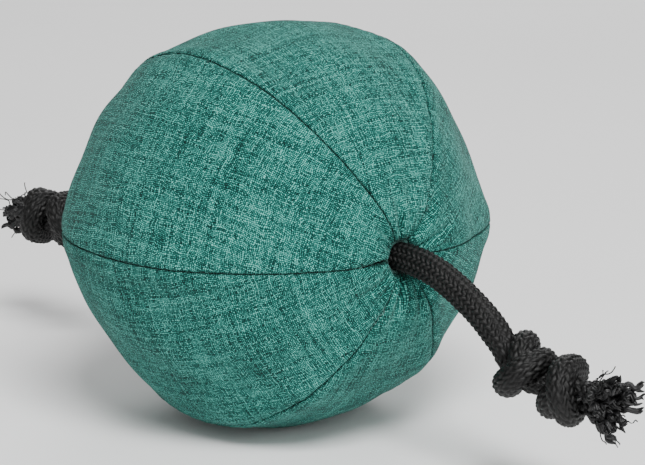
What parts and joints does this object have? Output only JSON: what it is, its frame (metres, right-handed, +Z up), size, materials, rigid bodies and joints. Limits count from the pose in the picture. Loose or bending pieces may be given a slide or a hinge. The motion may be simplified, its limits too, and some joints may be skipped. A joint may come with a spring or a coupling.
{
  "type": "training bumper",
  "caption": "Stuffed round canvas training toy on a braided rope that runs through it and ends in knots and frayed tufts.",
  "frame": {"origin": "on the surface the ball rests on, straight below the ball's centre", "axes": "+X along the rope towards the front rope end, +Z up, +Y to the left of someone facing +X"},
  "size_m": [0.2926, 0.124, 0.1169],
  "materials": {
    "canvas": "teal green melange linen-look plain weave",
    "seam_thread": "dark green polyester sewing thread",
    "filling": "white polyester fibre fill",
    "rope": "black braided multifilament",
    "rope_core": "black parallel filament core",
    "frayed_yarn": "black frayed yarn with melted tips"
  },
  "bodies": {
    "ball": {"gore_top": "canvas", "gore_upper_right": "canvas", "gore_lower_right": "canvas", "gore_bottom": "canvas", "gore_lower_left": "canvas", "gore_upper_left": "canvas", "seam_thread_top_right": "seam_thread", "seam_thread_right": "seam_thread", "seam_thread_bottom_right": "seam_thread", "seam_thread_bottom_left": "seam_thread", "seam_thread_left": "seam_thread", "seam_thread_top_left": "seam_thread", "fibre_filling": "filling", "front_gather_stitch": "seam_thread", "rear_gather_stitch": "seam_thread", "rope_cover_inside": "rope", "rope_core_inside": "rope_core"},
    "front_rope_near_half": {"front_rope_cover_near_half": "rope", "front_rope_core_near_half": "rope_core"},
    "front_rope_far_half": {"front_rope_cover_far_half": "rope", "front_rope_core_far_half": "rope_core", "front_inner_knot": "rope", "front_outer_knot": "rope", "front_frayed_end": "frayed_yarn"},
    "rear_rope_near_half": {"rear_rope_cover_near_half": "rope", "rear_rope_core_near_half": "rope_core"},
    "rear_rope_far_half": {"rear_rope_cover_far_half": "rope", "rear_rope_core_far_half": "rope_core", "rear_inner_knot": "rope", "rear_outer_knot": "rope", "rear_frayed_end": "frayed_yarn"}
  },
  "joints": [
    {"name": "front_rope_lift", "type": "hinge", "parent": "ball", "child": "front_rope_near_half", "pos_m": [0.0613, 0, 0.058], "axis": [0, -1, 0], "range_deg": [-60, 60], "stiffness_Nm_per_rad": 0.12, "springref_deg": 0.57},
    {"name": "front_rope_swing", "type": "hinge", "parent": "front_rope_near_half", "child": "front_rope_far_half", "pos_m": [0.0808, 0, 0.05205], "axis": [0.4276, 0, 0.904], "range_deg": [-60, 60], "stiffness_Nm_per_rad": 0.12},
    {"name": "rear_rope_lift", "type": "hinge", "parent": "ball", "child": "rear_rope_near_half", "pos_m": [-0.0613, 0, 0.058], "axis": [0, 1, 0], "range_deg": [-60, 60], "stiffness_Nm_per_rad": 0.12, "springref_deg": 0.57},
    {"name": "rear_rope_swing", "type": "hinge", "parent": "rear_rope_near_half", "child": "rear_rope_far_half", "pos_m": [-0.08135, 0, 0.0529], "axis": [-0.3838, 0, 0.9234], "range_deg": [-60, 60], "stiffness_Nm_per_rad": 0.12}
  ]
}
